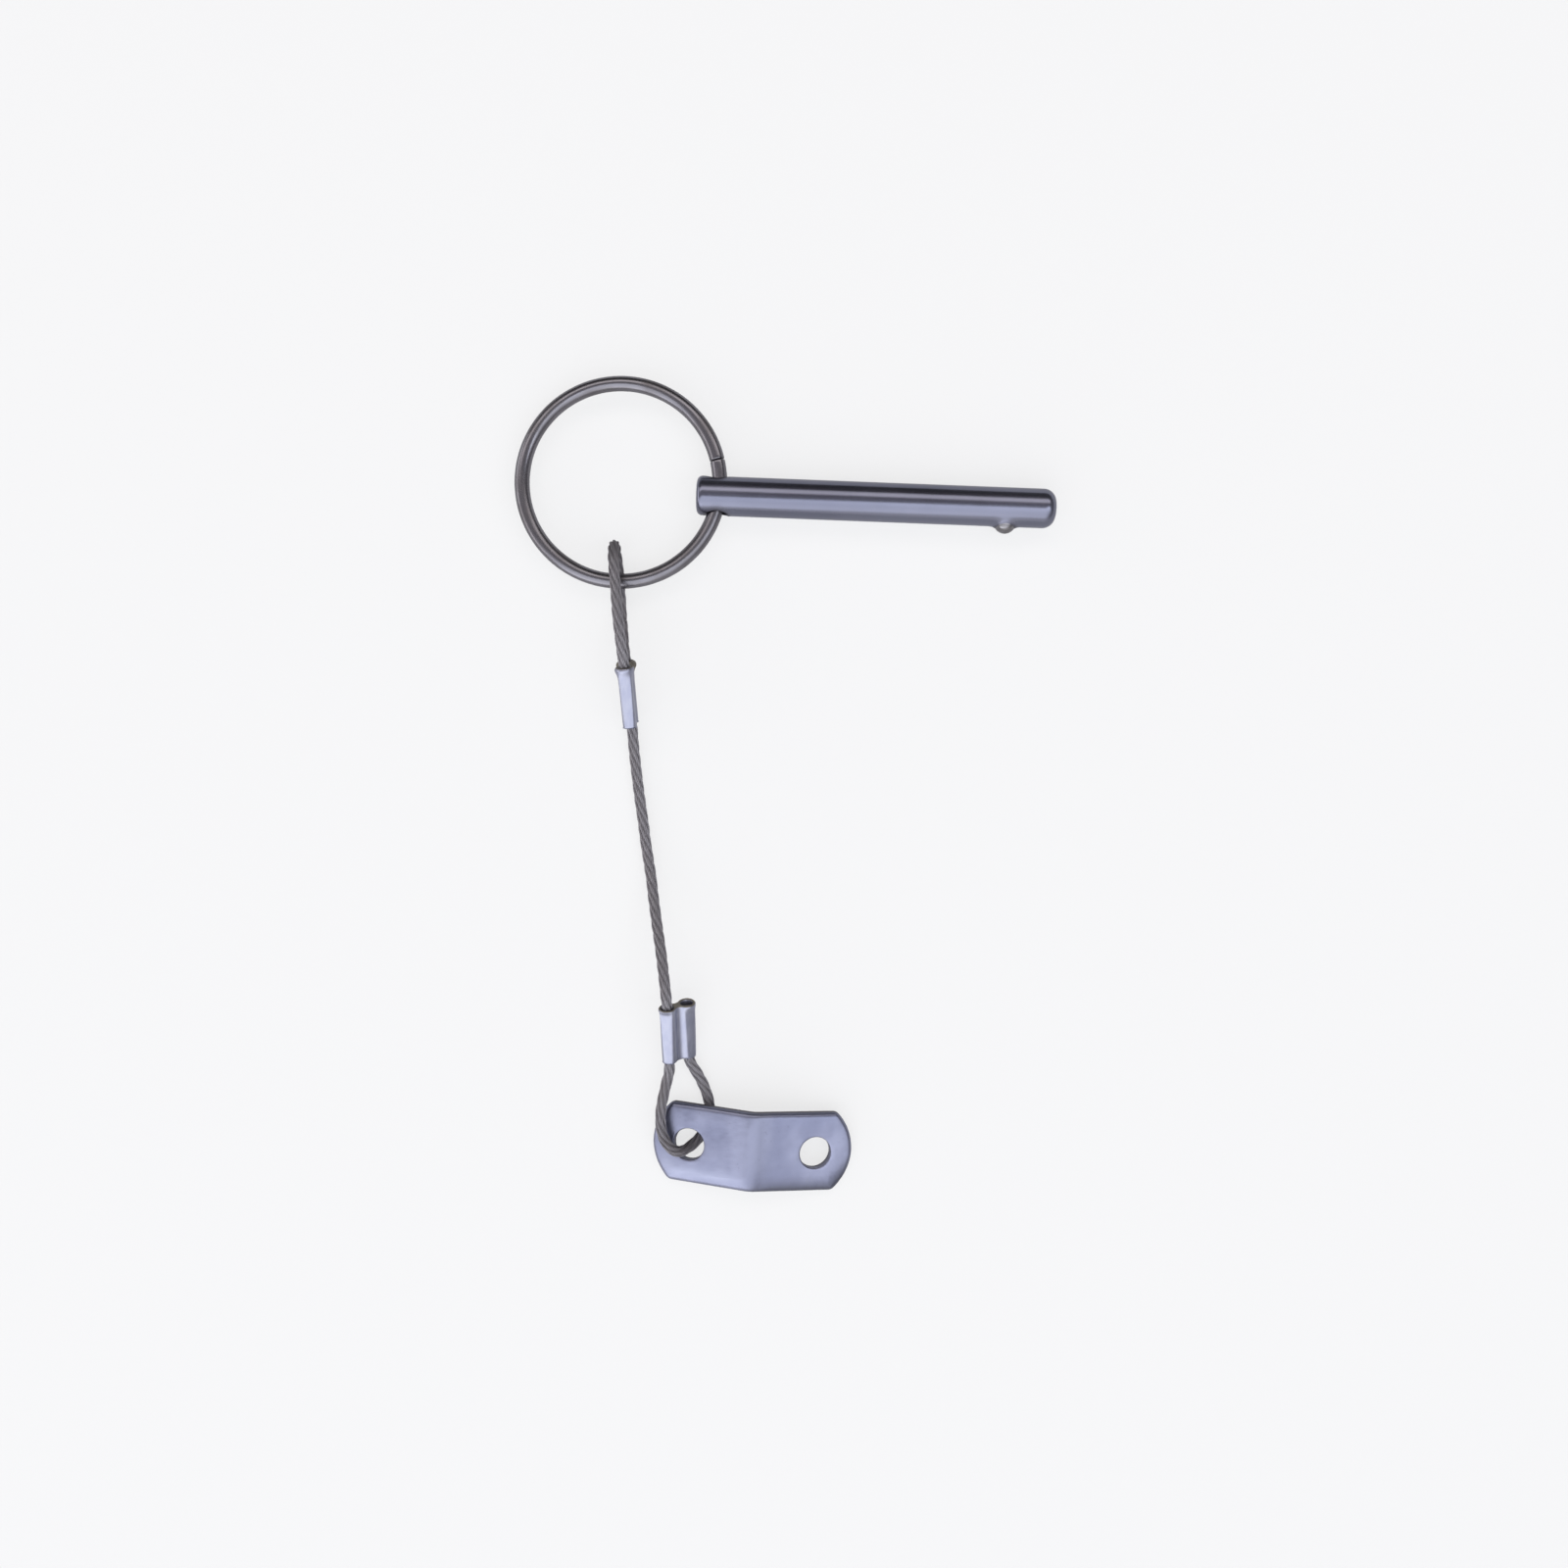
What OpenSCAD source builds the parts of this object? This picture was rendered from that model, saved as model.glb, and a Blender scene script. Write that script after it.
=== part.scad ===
// Quick-release ring pin on a wire rope lanyard, lying on a table.
// The pin runs along X with its tip at +X, and the middle of its axis is the origin.
// All sizes are in millimetres and Z points up.

/* [Pin] */
// Diameter of the shank
pin_d = 8.3; // [7:0.02:12]
// Length of the shank
pin_l = 76.2; // [60:0.1:110]
// Rounding of the edge at the ring end
ring_end_round = 1.2; // [0.4:0.1:2]
// Rounding of the tip
tip_round = 2.6; // [1:0.1:3.2]

/* [Pull ring] */
// Outside diameter of the ring
ring_d = 45.2; // [38:0.1:60]
// Diameter of the ring's wire
ring_wire_d = 3.2; // [2:0.1:3.4]
// Clearance of the ring's bowed wire in its cross hole
ring_clearance = 0.25; // [0.15:0.05:0.6]
// Distance from the ring end to the cross hole
ring_hole_inset = 4.3; // [3.6:0.1:8]
// Turn of the ring in its hole, in degrees
ring_turn = 5.7; // [0:0.1:7]
// Height of the ring's plane over the pin's axis, where it rests on the rope
ring_lift = 0.15; // [0:0.01:0.2]
// Gap where the two ends of the ring's wire meet
ring_seam_gap = 0.2; // [0.1:0.05:0.5]
// Place of that seam round the ring, in degrees from +X
ring_seam_angle = 15; // [12:1:80]

/* [Detent] */
// Diameter of the ball
ball_d = 4.76; // [3.5:0.01:5]
// Distance from the tip to the ball's centre
ball_inset = 10.6; // [8:0.1:20]
// Height of the ball over the shank, which is also its travel
ball_proud = 1.5; // [1:0.05:1.7]
// Clearance round the ball
ball_clearance = 0.04; // [0.02:0.01:0.08]
// Least wall behind the floor of the ball's pocket
pocket_wall = 0.85; // [0.5:0.05:1.2]
// Diameter of the spring's wire
spring_wire_d = 0.35; // [0.25:0.05:0.4]
// Gap between the spring and the pocket's wall
spring_side_gap = 0.6; // [0.1:0.05:0.8]
// Turns of the spring
spring_turns = 3; // [2:0.5:4]
// Clearance at each end of the spring
spring_clearance = 0.05; // [0.02:0.01:0.1]

/* [Lanyard] */
// Diameter of the wire rope
rope_d = 2.38; // [1.6:0.02:2.4]
// Clearance of the knuckle where the rope's two halves bend
knuckle_clearance = 0.12; // [0.1:0.01:0.3]

/* [Ferrules] */
// Length of a ferrule
ferrule_l = 13; // [10:0.1:15]
// Distance between the two barrels of a ferrule
barrel_spacing = 4.5; // [4.2:0.1:5.5]
// Wall of a barrel at its wide end
barrel_wide_wall = 0.65; // [0.5:0.05:0.8]
// Wall of a barrel at its narrow end
barrel_narrow_wall = 0.35; // [0.3:0.05:0.6]
// Thickness of the web between the barrels
web_t = 2; // [1:0.1:2.8]
// Flare of the wide mouth, on the radius
mouth_flare = 0.25; // [0.1:0.05:0.8]
// Length of the flared mouth
mouth_l = 1.5; // [0.5:0.1:3]
// Clearance of the rope in its bore, on the radius
bore_clearance = 0.06; // [0.03:0.01:0.15]
// Depth of the rope's cut end inside the mouth
end_recess = 1; // [0.2:0.1:3]

/* [Anchor tab] */
// Length of the tab's strip, measured flat
tab_l = 43.8; // [40:0.1:60]
// Width of the strip
tab_w = 17.2; // [14:0.1:20]
// Thickness of the strip
tab_t = 2; // [1.5:0.1:2.2]
// Radius of the strip's round ends
tab_end_r = 11.7; // [10.2:0.1:14]
// Diameter of the two holes
tab_hole_d = 6.8; // [6.6:0.1:8]
// Distance from each end to its hole
tab_hole_inset = 8.2; // [6:0.1:12]
// Angle of the bend across the middle
tab_bend = 30; // [20:1:40]
// Radius of the bend on its hollow side
tab_bend_r = 3.5; // [1:0.1:4]
// Tilt of the tab about its length, in degrees
tab_tilt = 5; // [0:0.5:8]
// Turn of the tab about Z, in degrees
tab_turn = -1.7; // [-5:0.1:5]

/* [Hidden] */
$fn = 64;
overcut = 1;

pin_r = pin_d / 2;
rope_r = rope_d / 2;
rope_sides = 8;
ring_wire_r = ring_wire_d / 2;
ring_r = ring_d / 2 - ring_wire_r;
ring_hole_x = ring_hole_inset - pin_l / 2;
// The bow of the ring's wire is centred in the cross hole, which is wide enough for it
ring_centre_y = ring_r * sin(ring_turn);
ring_bow = ring_r - sqrt(ring_r * ring_r - pow(pin_r + ring_centre_y, 2));
ring_centre = [ring_hole_x - ring_r + ring_bow / 2, ring_centre_y, ring_lift];
ring_hole_r = ring_wire_r + norm([ring_bow / 2, ring_lift]) + ring_clearance;

ball_r = ball_d / 2;
ball_centre = [pin_l / 2 - ball_inset, ball_r - ball_proud - pin_r, 0];
pocket_r = ball_r + ball_clearance;
pocket_floor = sqrt(pin_r * pin_r - pocket_r * pocket_r) - pocket_wall;
spring_wire_r = spring_wire_d / 2;
spring_r = pocket_r - spring_side_gap - spring_wire_r;
spring_sides = 6;
spring_rings = 8;
// The spring's first turn sits on the ball and its last one on the pocket's floor
spring_seat_r = ball_r + spring_wire_r + spring_clearance;
spring_start = ball_centre.y + sqrt(spring_seat_r * spring_seat_r - spring_r * spring_r);
spring_end = pocket_floor - spring_wire_r - spring_clearance;

// The rope's route, from its cut end in the upper ferrule to its cut end in the lower one
upper_mouth = [-51.6, -36.2, 1.9];
upper_foot = [-50.3, -48.6, -1.9];
upper_side = [0, 0, 1];
upper_eye_route = [
    [-51.9, -34.6, 7.0], [-52.4, -31.3, 7.5], [-53.0, -27.5, 7.5], [-53.5, -23.5, 7.1],
    [-54.0, -19.9, 6.6], [-54.4, -16.9, 6.1], [-54.7, -14.7, 5.4], [-54.9, -13.0, 4.3],
    [-55.0, -11.9, 2.9], [-55.0, -11.5, 1.4], [-55.0, -12.0, -0.3], [-54.9, -13.4, -1.8],
    [-54.6, -15.5, -2.7], [-54.2, -18.8, -2.8], [-53.7, -23.0, -2.5], [-53.2, -26.9, -1.3],
    [-52.6, -30.4, 0.4], [-52.2, -33.1, 1.6], [-51.8, -34.9, 2.1]];
span_upper_route = [
    [-49.8, -53.5, -2.6], [-49.1, -58.5, -2.8], [-48.2, -64.0, -2.8], [-47.2, -69.5, -2.7],
    [-46.4, -74.3, -2.6]];
knuckle = [-45.7, -77.7, -2.3];
span_lower_route = [
    [-44.9, -81.5, -1.7], [-44.1, -86.0, -0.6], [-43.0, -91.5, 1.1], [-41.8, -97.0, 3.0],
    [-40.8, -102.3, 4.7], [-40.2, -105.9, 5.3]];
lower_mouth = [-39.9, -108.3, 5.0];
lower_foot = [-39.3, -120.3, 0.1];
lower_side = [3.8, 1.2, -1.9];
lower_eye_route = [
    [-39.3, -121.7, -0.4], [-39.4, -123.3, -0.7], [-39.8, -125.0, -0.6], [-40.2, -127.2, -0.1],
    [-40.6, -129.7, 0.5], [-40.7, -132.5, 0.8], [-40.4, -134.9, 0.8], [-39.6, -137.1, 0.9],
    [-38.1, -138.8, 1.0], [-36.5, -139.4, 0.6], [-34.9, -138.9, -0.5], [-33.3, -137.8, -1.8],
    [-31.8, -136.1, -2.5], [-30.7, -134.1, -2.6], [-30.4, -131.7, -2.6], [-30.8, -129.0, -2.7],
    [-31.8, -126.3, -2.8], [-33.1, -123.9, -2.8], [-34.5, -121.8, -2.7], [-35.2, -120.5, -2.4]];
// The middle of the hole that the rope's eye goes through, on the tab's upper face
tab_eye = [-34.6, -137.9, 0.25];

function unit(v) = v / norm(v);
// The part of a vector that is square to a direction, at unit length
function square_to(v, direction) = unit(v - (v * direction) * direction);

upper_axis = unit(upper_foot - upper_mouth);
upper_across = square_to(upper_side, upper_axis) * barrel_spacing;
upper_end = upper_mouth + upper_axis * ferrule_l;
lower_axis = unit(lower_foot - lower_mouth);
lower_across = square_to(lower_side, lower_axis) * barrel_spacing;
lower_end = lower_mouth + lower_axis * ferrule_l;

upper_eye_points = [
    upper_end + upper_across - upper_axis * end_recess,
    upper_mouth + upper_across,
    each upper_eye_route,
    upper_mouth,
    upper_end];
span_upper_points = [upper_end, each span_upper_route, knuckle];
lower_eye_points = [
    lower_mouth,
    lower_end,
    each lower_eye_route,
    lower_end + lower_across,
    lower_mouth + lower_across + lower_axis * end_recess];

tab_bend_arc = tab_bend * PI / 180 * (tab_bend_r + tab_t / 2);
tab_flap_l = (tab_l - tab_bend_arc) / 2;
tab_hole_x = tab_flap_l - tab_hole_inset;

// A point of the right flap, given along the flap and over the bend's axis
function flap_point(along, over) = [
    along * cos(tab_bend / 2) + over * sin(tab_bend / 2), 0,
    over * cos(tab_bend / 2) - along * sin(tab_bend / 2)];

// Directions along a route, with its first and last ones given
function directions(points, first, last) = [for (i = [0:len(points) - 1])
    i == 0 ? first
    : i == len(points) - 1 ? last
    : unit(unit(points[i + 1] - points[i]) + unit(points[i] - points[i - 1]))];

// One sideways direction per point, carried along the route without twist
function sideways(along) = [
    for (i = 0, side = square_to([0.3, 0.2, 1], along[0]);
        i < len(along);
        i = i + 1, side = i < len(along) ? square_to(side, along[i]) : side)
    side];

// A tube through points, with one direction and one radius per point
module tube(points, along, radii, sides) {
    across = sideways(along);
    last = len(points) - 1;
    rings = [for (i = [0:last], k = [0:sides - 1])
        let (angle = k * 360 / sides)
        points[i] + radii[i] * (across[i] * cos(angle) + cross(along[i], across[i]) * sin(angle))];
    walls = [for (i = [0:last - 1], k = [0:sides - 1])
        let (a = i * sides + k, b = i * sides + (k + 1) % sides)
        each [[a, a + sides, b], [b, a + sides, b + sides]]];
    caps = [for (k = [1:sides - 2])
        each [[0, k, k + 1], [last * sides, last * sides + k + 1, last * sides + k]]];
    polyhedron(points = rings, faces = concat(walls, caps));
}

// A stretch of the wire rope along a route, square to what it meets at both ends
module rope(points, first, last) {
    along = directions(points, first, last);
    tube(points, along, [for (p = points) rope_r], rope_sides);
}

module pin_shank() {
    color("lightsteelblue")
    difference() {
        rotate([0, 90, 0])
        rotate_extrude()
        shank_profile();
        translate([ring_hole_x, 0, 0])
        rotate([90, 0, 0])
        cylinder(r = ring_hole_r, h = pin_d + 2 * overcut, center = true);
        translate(ball_centre)
        sphere(r = pocket_r);
        translate(ball_centre)
        rotate([-90, 0, 0])
        cylinder(r = pocket_r, h = pocket_floor - ball_centre.y);
    }
}

// Half section of the shank, with its ring end down
module shank_profile() {
    tip = pin_l / 2;
    translate([0, -tip])
    square([pin_r - ring_end_round, pin_l]);
    translate([0, ring_end_round - tip])
    square([pin_r, pin_l - ring_end_round - tip_round]);
    translate([0, tip - tip_round])
    square([pin_r - tip_round, tip_round]);
    intersection() {
        translate([pin_r - ring_end_round, ring_end_round - tip])
        circle(r = ring_end_round);
        translate([pin_r - ring_end_round, -tip])
        square(ring_end_round);
    }
    intersection() {
        translate([pin_r - tip_round, tip - tip_round])
        circle(r = tip_round);
        translate([pin_r - tip_round, tip - tip_round])
        square(tip_round);
    }
}

module detent_ball() {
    color("gainsboro")
    translate(ball_centre)
    sphere(r = ball_r);
}

module detent_spring() {
    steps = spring_turns * spring_rings;
    points = [for (i = [0:steps])
        let (angle = i * 360 / spring_rings)
        [ball_centre.x + spring_r * cos(angle),
            spring_start + (spring_end - spring_start) * i / steps,
            spring_r * sin(angle)]];
    along = directions(points, unit(points[1] - points[0]), unit(points[steps] - points[steps - 1]));
    color("darkgray")
    tube(points, along, [for (p = points) spring_wire_r], spring_sides);
}

module pull_ring() {
    seam = ring_seam_gap / ring_r * 180 / PI;
    color("slategray")
    translate(ring_centre)
    rotate([0, 0, ring_seam_angle + seam / 2])
    rotate_extrude(angle = 360 - seam)
    translate([ring_r, 0])
    circle(r = ring_wire_r);
}

module lanyard_upper_eye() {
    color("dimgray")
    rope(upper_eye_points, -upper_axis, upper_axis);
}

// The upper half of the span, with a round end that the lower half bends about
module lanyard_span_upper() {
    out = unit(span_lower_route[0] - knuckle);
    along = directions(span_upper_points, upper_axis, out);
    dome = [30, 60, 80];
    color("dimgray")
    tube(
        concat(span_upper_points, [for (a = dome) knuckle + out * rope_r * sin(a)]),
        concat(along, [for (a = dome) out]),
        concat([for (p = span_upper_points) rope_r], [for (a = dome) rope_r * cos(a)]),
        rope_sides);
}

module lanyard_span_lower() {
    out = unit(span_lower_route[0] - knuckle);
    start = knuckle + out * (rope_r + knuckle_clearance);
    color("dimgray")
    rope([start, each span_lower_route, lower_mouth], out, lower_axis);
}

module lanyard_lower_eye() {
    color("dimgray")
    rope(lower_eye_points, lower_axis, -lower_axis);
}

// Turns +Z to an axis and +X to a side, at a point
module placed(point, axis, side) {
    turned = cross(axis, side);
    multmatrix([
        [side.x, turned.x, axis.x, point.x],
        [side.y, turned.y, axis.y, point.y],
        [side.z, turned.z, axis.z, point.z],
        [0, 0, 0, 1]])
    children();
}

// A sleeve of two barrels with a web between them, from its wide mouth along +Z
module ferrule() {
    bore_r = rope_r + bore_clearance;
    wide_r = bore_r + barrel_wide_wall;
    narrow_r = bore_r + barrel_narrow_wall;
    difference() {
        union() {
            for (x = [0, barrel_spacing])
                translate([x, 0, 0]) {
                    cylinder(r1 = wide_r, r2 = narrow_r, h = ferrule_l);
                    cylinder(r1 = wide_r + mouth_flare, r2 = narrow_r, h = mouth_l);
                }
            translate([0, -web_t / 2, 0])
            cube([barrel_spacing, web_t, ferrule_l]);
        }
        for (x = [0, barrel_spacing])
            translate([x, 0, 0]) {
                translate([0, 0, -overcut])
                cylinder(r = bore_r, h = ferrule_l + 2 * overcut);
                cylinder(r1 = bore_r + mouth_flare, r2 = bore_r, h = mouth_l / 2);
            }
    }
}

module upper_ferrule() {
    color("lavender")
    placed(upper_mouth, upper_axis, unit(upper_across))
    ferrule();
}

module lower_ferrule() {
    color("lavender")
    placed(lower_mouth, lower_axis, unit(lower_across))
    ferrule();
}

// Side view of half the bent strip, with the bend's axis at the origin and the flap lying flat.
// The flap is a little long, since its round end is cut from it, and the bends of both halves overlap
module strip_half() {
    blank_l = tab_flap_l + overcut;
    outer_r = tab_bend_r + tab_t;
    translate([0, tab_bend_r])
    square([blank_l, tab_t]);
    difference() {
        circle(r = outer_r);
        circle(r = tab_bend_r);
        translate([0, -2 * outer_r])
        square([2 * outer_r, 4 * outer_r]);
        rotate(0.75 * tab_bend)
        translate([-2 * outer_r, -2 * outer_r])
        square([2 * outer_r, 4 * outer_r]);
    }
}

// Side view of the whole strip: its two halves turned down from the middle of the bend
module strip_profile() {
    rotate(-tab_bend / 2)
    strip_half();
    mirror([1, 0])
    rotate(-tab_bend / 2)
    strip_half();
}

// What is cut from the right flap: its hole, and its corners to make its round end
module flap_cuts() {
    end_x = tab_flap_l - tab_end_r;
    rotate([0, tab_bend / 2, 0])
    translate([0, 0, tab_bend_r - overcut])
    linear_extrude(tab_t + 2 * overcut) {
        translate([tab_hole_x, 0])
        circle(d = tab_hole_d);
        difference() {
            translate([end_x, -tab_w])
            square([2 * tab_end_r, 2 * tab_w]);
            translate([end_x, 0])
            circle(r = tab_end_r);
            translate([end_x - tab_end_r, -tab_end_r])
            square([tab_end_r, 2 * tab_end_r]);
        }
    }
}

module anchor_tab() {
    hole = flap_point(tab_hole_x, tab_bend_r + tab_t);
    color("lightsteelblue")
    translate(tab_eye)
    rotate([tab_tilt, 0, tab_turn])
    translate([hole.x, 0, -hole.z])
    difference() {
        rotate([90, 0, 0])
        linear_extrude(tab_w, center = true)
        strip_profile();
        flap_cuts();
        mirror([1, 0, 0])
        flap_cuts();
    }
}

pin_shank();
detent_ball();
detent_spring();
pull_ring();
lanyard_upper_eye();
lanyard_span_upper();
lanyard_span_lower();
lanyard_lower_eye();
upper_ferrule();
lower_ferrule();
anchor_tab();
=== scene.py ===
"""Looks of a quick-release ring pin on its wire rope lanyard.

The pieces are the shank, its ball and spring, the pull ring, the rope, two crimped sleeves and
the anchor tab. Shapes are written in millimetres, in the frame of the CAD part, and scaled to
metres as each piece is made.
"""

import math

import bmesh
import bpy
from mathutils import Euler, Matrix, Vector
from mathutils.geometry import interpolate_bezier
from mathutils.kdtree import KDTree


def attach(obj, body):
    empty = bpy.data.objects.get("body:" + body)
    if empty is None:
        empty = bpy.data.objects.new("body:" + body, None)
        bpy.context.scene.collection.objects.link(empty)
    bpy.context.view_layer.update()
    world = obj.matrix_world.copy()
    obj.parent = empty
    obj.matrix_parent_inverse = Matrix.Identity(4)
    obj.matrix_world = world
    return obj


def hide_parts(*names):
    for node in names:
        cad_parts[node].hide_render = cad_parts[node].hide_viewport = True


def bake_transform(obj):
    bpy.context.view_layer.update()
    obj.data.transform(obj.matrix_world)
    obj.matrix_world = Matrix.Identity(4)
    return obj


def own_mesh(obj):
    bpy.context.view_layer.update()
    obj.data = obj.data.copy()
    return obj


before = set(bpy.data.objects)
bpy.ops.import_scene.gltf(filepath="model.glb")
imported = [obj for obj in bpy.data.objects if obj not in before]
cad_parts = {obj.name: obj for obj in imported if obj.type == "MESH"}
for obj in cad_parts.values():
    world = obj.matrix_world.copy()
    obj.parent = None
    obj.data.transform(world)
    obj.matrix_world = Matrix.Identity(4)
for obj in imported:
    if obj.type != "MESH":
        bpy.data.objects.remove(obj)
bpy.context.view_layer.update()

MM = 0.001
MICRON = 0.000001
ALONG_X, ALONG_Y, ALONG_Z = Vector((1, 0, 0)), Vector((0, 1, 0)), Vector((0, 0, 1))
SHARP_FROM = math.radians(38)

# Shank and ball
PIN_R = 4.15
PIN_HALF = 38.1
RING_END_ROUND = 1.2
TIP_ROUND = 2.6
CROSS_HOLE_X = -33.8
CROSS_HOLE_R = 2.35
BALL_R = 2.38
BALL_CENTRE = Vector((27.5, -3.27, 0))
POCKET_R = 2.42
POCKET_FLOOR = 2.52

# Ring
RING_R = 21
RING_WIRE_R = 1.6
RING_CENTRE = Vector((-54.326, 2.086, 0.15))
RING_SEAM_AT = 15
RING_SEAM_GAP = 0.2

# Rope
ROPE_R = 1.19
STRANDS = 6
WIRES = 6
END_RECESS = 1
UPPER_EYE = [
    (-51.9, -34.6, 7.0), (-52.4, -31.3, 7.5), (-53.0, -27.5, 7.5), (-53.5, -23.5, 7.1),
    (-54.0, -19.9, 6.6), (-54.4, -16.9, 6.1), (-54.7, -14.7, 5.4), (-54.9, -13.0, 4.3),
    (-55.0, -11.9, 2.9), (-55.0, -11.5, 1.4), (-55.0, -12.0, -0.3), (-54.9, -13.4, -1.8),
    (-54.6, -15.5, -2.7), (-54.2, -18.8, -2.8), (-53.7, -23.0, -2.5), (-53.2, -26.9, -1.3),
    (-52.6, -30.4, 0.4), (-52.2, -33.1, 1.6), (-51.8, -34.9, 2.1)]
SPAN = [
    (-49.8, -53.5, -2.6), (-49.1, -58.5, -2.8), (-48.2, -64.0, -2.8), (-47.2, -69.5, -2.7),
    (-46.4, -74.3, -2.6), (-45.7, -77.7, -2.3), (-44.9, -81.5, -1.7), (-44.1, -86.0, -0.6),
    (-43.0, -91.5, 1.1), (-41.8, -97.0, 3.0), (-40.8, -102.3, 4.7), (-40.2, -105.9, 5.3)]
LOWER_EYE = [
    (-39.3, -121.7, -0.4), (-39.4, -123.3, -0.7), (-39.8, -125.0, -0.6), (-40.2, -127.2, -0.1),
    (-40.6, -129.7, 0.5), (-40.7, -132.5, 0.8), (-40.4, -134.9, 0.8), (-39.6, -137.1, 0.9),
    (-38.1, -138.8, 1.0), (-36.5, -139.4, 0.6), (-34.9, -138.9, -0.5), (-33.3, -137.8, -1.8),
    (-31.8, -136.1, -2.5), (-30.7, -134.1, -2.6), (-30.4, -131.7, -2.6), (-30.8, -129.0, -2.7),
    (-31.8, -126.3, -2.8), (-33.1, -123.9, -2.8), (-34.5, -121.8, -2.7), (-35.2, -120.5, -2.4)]
RING_BEARING = Vector((-55.0, -11.5, 1.4))

# Sleeves
SLEEVE_L = 13
SLEEVE_R = 1.9
SLEEVE_BORE_R = 1.25
SLEEVE_FILLET_R = 1.2
SLEEVE_ROWS = [
    0.06, 0.16, 0.35, 0.65, 1, 1.5, 2.2, 4, 6, 8, 10, 11.2, 12.1, 12.6, 12.82, 12.94]
BARREL_SPACING = 4.5
UPPER_MOUTH = Vector((-51.6, -36.2, 1.9))
UPPER_FOOT = Vector((-50.3, -48.6, -1.9))
UPPER_SIDE = Vector((0, 0, 1))
LOWER_MOUTH = Vector((-39.9, -108.3, 5.0))
LOWER_FOOT = Vector((-39.3, -120.3, 0.1))
LOWER_SIDE = Vector((3.8, 1.2, -1.9))

# What the crimp does to each barrel: how far down its mouth takes brown stain and painted shade,
# how proud its collar stands, whether its mouth is domed, which ways its flats face, in degrees,
# and how soon they set in
UPPER_CRIMP = {
    "live": {"stain": 2.2, "collar": 0.38, "dome": 1, "flats": (90, 180, 270), "fade": 2.5},
    "dead": {"stain": 0.3, "collar": 0.2, "dome": 0, "flats": (0, 90, 270), "fade": 2.5}}
LOWER_CRIMP = {
    "live": {"stain": 0.3, "collar": 0.05, "dome": 0, "flats": (126, 216), "fade": 0.9},
    "dead": {"stain": 0.4, "collar": 0.05, "dome": 0, "flats": (0, 85), "fade": 1.5}}

# Anchor tab
TAB_L = 43.8
TAB_W = 17.2
TAB_T = 2
TAB_END_R = 11.7
TAB_HOLE_R = 3.4
TAB_HOLE_X = TAB_L / 2 - 8.2
TAB_BEND = math.radians(30)
TAB_BEND_R = 3.5
TAB_TILT = math.radians(5)
TAB_TURN = math.radians(-1.7)
TAB_EYE = Vector((-34.6, -137.9, 0.25))


# Shader nodes

class Socket:
    """A socket of a node tree. Sums on it add Math nodes, and node() adds any other node."""

    def __init__(self, tree, output=None):
        self.tree = tree
        self.output = output

    def node(self, kind, settings=None, inputs=None, output=0):
        """Adds a node, sets it up, gives its sockets values or links, and returns an output."""
        made = self.tree.nodes.new("ShaderNode" + kind)
        for name, value in (settings or {}).items():
            if name == "stops":
                set_stops(made.color_ramp, value)
            else:
                setattr(made, name, value)
        for name, value in (inputs or {}).items():
            self.feed(made.inputs[name], value)
        return Socket(self.tree, made.outputs[output])

    def feed(self, target, value):
        """Gives a node's socket a link or a value."""
        if isinstance(value, Socket):
            self.tree.links.new(value.output, target)
        else:
            target.default_value = value

    def maths(self, operation, first, second=0.0):
        """Adds a Math node."""
        return self.node("Math", {"operation": operation}, {0: first, 1: second})

    def length(self):
        """The length of a vector."""
        return self.node("VectorMath", {"operation": "LENGTH"}, {0: self}, output="Value")

    def part(self, axis):
        """The X, Y or Z of a vector."""
        return self.node("SeparateXYZ", {}, {0: self}, output=axis)

    def step(self, low, high):
        """0 below low, 1 above high, and smooth between. Low may be the larger of the two."""
        mapped = self.node(
            "MapRange", {"interpolation_type": "SMOOTHSTEP"},
            {"Value": self, "From Min": min(low, high), "From Max": max(low, high)})
        return 1 - mapped if low > high else mapped

    def __add__(self, other):
        return self.maths("ADD", self, other)

    def __sub__(self, other):
        return self.maths("SUBTRACT", self, other)

    def __rsub__(self, other):
        return self.maths("SUBTRACT", other, self)

    def __mul__(self, other):
        return self.maths("MULTIPLY", self, other)

    __radd__ = __add__
    __rmul__ = __mul__


def set_stops(blend, stops):
    """Sets the colours of a colour ramp, and where each one lies."""
    while len(blend.elements) < len(stops):
        blend.elements.new(1)
    for element, (place, colour) in zip(blend.elements, stops):
        element.position = place
        element.color = colour


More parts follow.
